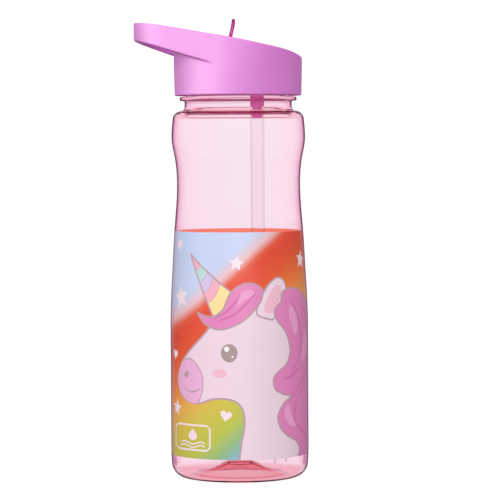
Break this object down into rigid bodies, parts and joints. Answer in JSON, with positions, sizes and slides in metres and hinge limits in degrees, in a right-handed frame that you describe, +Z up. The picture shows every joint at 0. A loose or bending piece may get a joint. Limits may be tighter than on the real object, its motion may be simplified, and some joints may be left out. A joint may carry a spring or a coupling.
{
  "type": "kids straw water bottle",
  "caption": "Tinted clear water bottle with a waisted grip and printed film, and a screw lid with a carry loop, flip-up spout and straw.",
  "frame": {"origin": "bottom centre of the whole object's box, on the surface it stands on; the bottle's own axis stands 9.625 mm towards +X from it", "axes": "+Z up along the bottle; the lid's carry loop points along -X; the spout turns about an axis along Y"},
  "size_m": [0.095, 0.0756, 0.2515],
  "materials": {
    "tinted_clear_plastic": "clear, pale pink tint",
    "printed_film": "satin, multicoloured print",
    "lilac_plastic": "satin",
    "magenta_clear_plastic": "translucent, glossy",
    "clear_silicone": "soft, milky",
    "straw_plastic": "frosted"
  },
  "bodies": {
    "bottle": {"bottle_body": "tinted_clear_plastic", "printed_film": "printed_film"},
    "gasket": {"lid_gasket": "clear_silicone"},
    "valve": {"vent_valve": "clear_silicone"},
    "lid": {"lid_shell": "lilac_plastic", "lid_liner": "lilac_plastic", "spout_seal": "clear_silicone", "straw": "straw_plastic"},
    "spout": {"flip_spout": "magenta_clear_plastic"}
  },
  "joints": [
    {"name": "lid_liftoff", "type": "slide", "parent": "bottle", "child": "gasket", "axis": [0, 0, 1], "range_m": [0, 0.24]},
    {"name": "lid_screw_lift", "type": "slide", "parent": "gasket", "child": "valve", "axis": [0, 0, 1], "range_m": [0, 0.0061]},
    {"name": "lid_twist", "type": "hinge", "parent": "valve", "child": "lid", "pos_m": [0.00962, 0, 0.215], "axis": [0, 0, 1], "range_deg": [0, 540]},
    {"name": "spout_flip", "type": "hinge", "parent": "lid", "child": "spout", "pos_m": [0.02013, 0, 0.231], "axis": [0, 1, 0], "range_deg": [0, 78.2]}
  ],
  "couplings": [
    {"joint": "lid_screw_lift", "follows": "lid_twist", "m_per_rad": 0.00063662}
  ]
}
